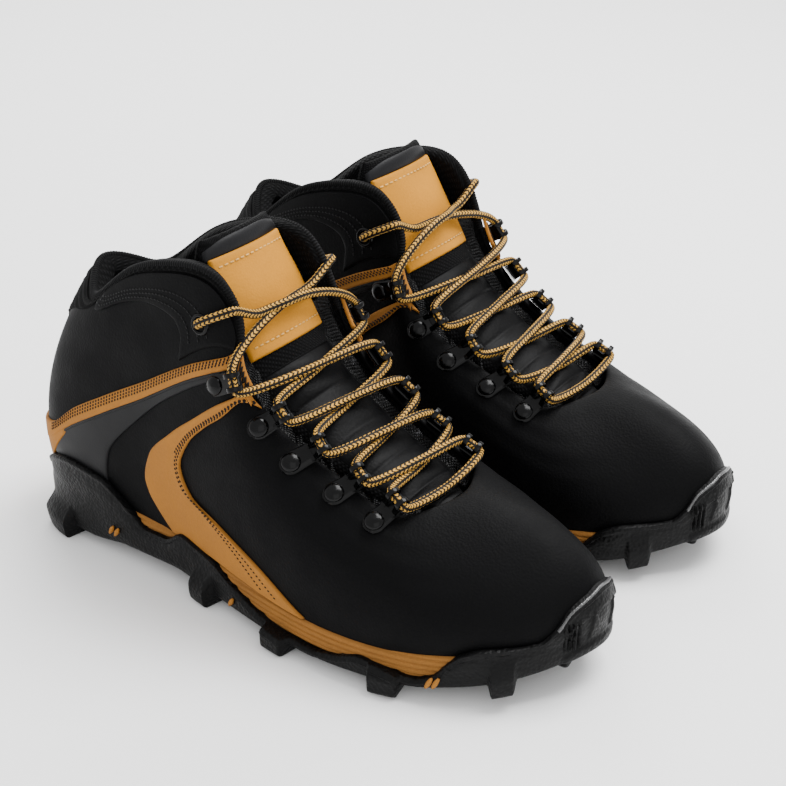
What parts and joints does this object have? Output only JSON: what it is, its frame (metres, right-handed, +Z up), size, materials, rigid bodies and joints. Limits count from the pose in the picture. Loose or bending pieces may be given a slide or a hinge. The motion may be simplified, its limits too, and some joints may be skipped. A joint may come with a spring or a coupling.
{
  "type": "pair of hiking boots",
  "caption": "Pair of mid-height hiking boots with lugged rubber soles, padded collars, black leather uppers with tan bands, laced tongues and lift-up footbeds.",
  "frame": {"origin": "on the ground under the middle of the pair, halfway along the length", "axes": "+Z up, toes towards -Y, heels towards +Y; the right boot stands at -X and the left boot at +X"},
  "size_m": [0.2398, 0.3075, 0.168],
  "materials": {
    "black_nubuck": "matte",
    "black_mesh": "matte",
    "tan_leather": "satin",
    "tan_foam": "matte",
    "black_rubber": "matte",
    "black_metal": "satin",
    "spring_steel": "satin",
    "fibre_board": "matte",
    "stiffener": "matte",
    "footbed_foam": "matte",
    "lace_cord": "matte"
  },
  "bodies": {
    "right_boot": {"right_outsole": "black_rubber", "right_midsole": "tan_foam", "right_shank": "spring_steel", "right_lasting_board": "fibre_board", "right_toe_puff": "stiffener", "right_heel_counter": "stiffener", "right_vamp": "black_nubuck", "right_collar_lining": "black_mesh", "right_lace": "lace_cord", "right_quarter_lateral": "black_nubuck", "right_stripe_lateral": "tan_leather", "right_swoosh_lateral": "tan_leather", "right_eyelet_lateral": "black_metal", "right_loop_lateral_1": "black_metal", "right_loop_lateral_2": "black_metal", "right_loop_lateral_3": "black_metal", "right_loop_lateral_4": "black_metal", "right_loop_lateral_5": "black_metal", "right_quarter_medial": "black_nubuck", "right_stripe_medial": "tan_leather", "right_swoosh_medial": "tan_leather", "right_eyelet_medial": "black_metal", "right_loop_medial_1": "black_metal", "right_loop_medial_2": "black_metal", "right_loop_medial_3": "black_metal", "right_loop_medial_4": "black_metal", "right_loop_medial_5": "black_metal"},
    "right_tongue": {"right_tongue": "black_mesh", "right_tongue_patch": "tan_leather"},
    "right_footbed": {"right_footbed": "footbed_foam"},
    "left_boot": {"left_outsole": "black_rubber", "left_midsole": "tan_foam", "left_shank": "spring_steel", "left_lasting_board": "fibre_board", "left_toe_puff": "stiffener", "left_heel_counter": "stiffener", "left_vamp": "black_nubuck", "left_collar_lining": "black_mesh", "left_lace": "lace_cord", "left_quarter_lateral": "black_nubuck", "left_stripe_lateral": "tan_leather", "left_swoosh_lateral": "tan_leather", "left_eyelet_lateral": "black_metal", "left_loop_lateral_1": "black_metal", "left_loop_lateral_2": "black_metal", "left_loop_lateral_3": "black_metal", "left_loop_lateral_4": "black_metal", "left_loop_lateral_5": "black_metal", "left_quarter_medial": "black_nubuck", "left_stripe_medial": "tan_leather", "left_swoosh_medial": "tan_leather", "left_eyelet_medial": "black_metal", "left_loop_medial_1": "black_metal", "left_loop_medial_2": "black_metal", "left_loop_medial_3": "black_metal", "left_loop_medial_4": "black_metal", "left_loop_medial_5": "black_metal"},
    "left_tongue": {"left_tongue": "black_mesh", "left_tongue_patch": "tan_leather"},
    "left_footbed": {"left_footbed": "footbed_foam"}
  },
  "joints": [
    {"name": "left_boot_lift", "type": "slide", "parent": "right_boot", "child": "left_boot", "axis": [0, 0, 1], "range_m": [0, 0.15]},
    {"name": "right_tongue_fold", "type": "hinge", "parent": "right_boot", "child": "right_tongue", "pos_m": [-0.058, -0.0809, 0.0625], "axis": [1, 0, 0], "range_deg": [0, 25], "deforming": ["right_lace"]},
    {"name": "right_footbed_lift", "type": "hinge", "parent": "right_boot", "child": "right_footbed", "pos_m": [-0.058, -0.1389, 0.031], "axis": [1, 0, 0], "range_deg": [0, 6]},
    {"name": "left_tongue_fold", "type": "hinge", "parent": "left_boot", "child": "left_tongue", "pos_m": [0.058, -0.0809, 0.0625], "axis": [1, 0, 0], "range_deg": [0, 25], "deforming": ["left_lace"]},
    {"name": "left_footbed_lift", "type": "hinge", "parent": "left_boot", "child": "left_footbed", "pos_m": [0.058, -0.1389, 0.031], "axis": [1, 0, 0], "range_deg": [0, 6]}
  ]
}
